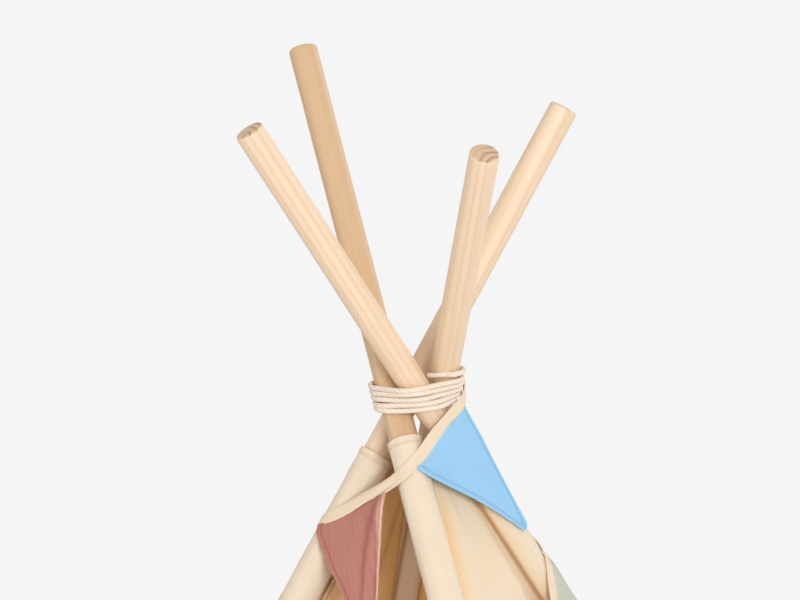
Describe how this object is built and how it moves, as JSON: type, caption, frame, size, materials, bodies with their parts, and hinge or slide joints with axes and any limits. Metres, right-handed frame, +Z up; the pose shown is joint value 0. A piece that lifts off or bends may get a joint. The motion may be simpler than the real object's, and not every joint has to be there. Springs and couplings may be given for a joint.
{
  "type": "kids teepee",
  "caption": "Children's play teepee: crossed wooden poles lashed with rope at the crown, a canvas cover with a curtained doorway, and a string of cloth pennants.",
  "frame": {"origin": "on the floor, in the middle of the rectangle that the foot caps stand in", "axes": "+Z up, -Y out of the doorway, +X to the right of someone facing the doorway from outside"},
  "size_m": [1.2514, 1.1748, 1.6291],
  "materials": {
    "pine": "sanded, bare",
    "ferrule_steel": "drawn tube",
    "foot_rubber": "matt",
    "canvas": "cream cotton canvas",
    "cotton_rope": "twisted cotton",
    "end_tape": "satin tape",
    "bunting_tape": "folded cotton tape",
    "pennant_blue": "plain weave",
    "pennant_pink": "plain weave",
    "pennant_sage": "plain weave"
  },
  "bodies": {
    "crown": {"crown_rope": "cotton_rope", "rope_end_wrap": "end_tape"},
    "front_left_pole": {"front_left_foot_cap": "foot_rubber", "front_left_lower_pole": "pine", "front_left_ferrule": "ferrule_steel", "front_left_upper_pole": "pine", "front_left_sleeve": "canvas", "left_wall_front": "canvas", "left_curtain": "canvas", "left_curtain_tie": "canvas", "bunting_tape_front_left": "bunting_tape", "pennant_2": "pennant_pink"},
    "front_right_pole": {"front_right_foot_cap": "foot_rubber", "front_right_lower_pole": "pine", "front_right_ferrule": "ferrule_steel", "front_right_upper_pole": "pine", "front_right_sleeve": "canvas", "right_wall_front": "canvas", "right_curtain": "canvas", "right_curtain_tie": "canvas", "bunting_tape_crown": "bunting_tape", "bunting_tape_end": "bunting_tape", "pennant_1": "pennant_blue", "pennant_6": "pennant_pink"},
    "back_right_pole": {"back_right_foot_cap": "foot_rubber", "back_right_lower_pole": "pine", "back_right_ferrule": "ferrule_steel", "back_right_upper_pole": "pine", "back_right_sleeve": "canvas", "back_wall_right": "canvas", "right_wall_back": "canvas", "bunting_tape_back_right": "bunting_tape", "pennant_4": "pennant_blue", "pennant_5": "pennant_sage"},
    "back_left_pole": {"back_left_foot_cap": "foot_rubber", "back_left_lower_pole": "pine", "back_left_ferrule": "ferrule_steel", "back_left_upper_pole": "pine", "back_left_sleeve": "canvas", "left_wall_back": "canvas", "back_wall_left": "canvas", "bunting_tape_back_left": "bunting_tape", "pennant_3": "pennant_sage"}
  },
  "joints": [
    {"name": "front_left_fold", "type": "hinge", "parent": "crown", "child": "front_left_pole", "pos_m": [0.01987, -0.06479, 1.2835], "axis": [0.6211, -0.7837, 0], "range_deg": [0, 21.8], "deforming": ["left_wall_front", "left_curtain", "left_curtain_tie", "bunting_tape_front_left", "pennant_2"]},
    {"name": "front_right_fold", "type": "hinge", "parent": "crown", "child": "front_right_pole", "pos_m": [0.01289, -0.10312, 1.2835], "axis": [0.6691, 0.7431, 0], "range_deg": [0, 18.4], "deforming": ["right_wall_front", "right_curtain", "right_curtain_tie", "bunting_tape_crown", "bunting_tape_end", "pennant_1", "pennant_6"]},
    {"name": "back_right_fold", "type": "hinge", "parent": "crown", "child": "back_right_pole", "pos_m": [0.04676, -0.10761, 1.2835], "axis": [-0.6947, 0.7193, 0], "range_deg": [0, 21.2], "deforming": ["back_wall_right", "right_wall_back", "bunting_tape_back_right", "pennant_4", "pennant_5"]},
    {"name": "back_left_fold", "type": "hinge", "parent": "crown", "child": "back_left_pole", "pos_m": [0.05447, -0.07476, 1.2835], "axis": [-0.788, -0.6157, 0], "range_deg": [0, 22.4], "deforming": ["left_wall_back", "back_wall_left", "bunting_tape_back_left", "pennant_3"]}
  ],
  "couplings": [
    {"joint": "front_right_fold", "follows": "front_left_fold", "ratio": 0.8425},
    {"joint": "back_right_fold", "follows": "front_left_fold", "ratio": 0.969},
    {"joint": "back_left_fold", "follows": "front_left_fold", "ratio": 1.0235}
  ]
}
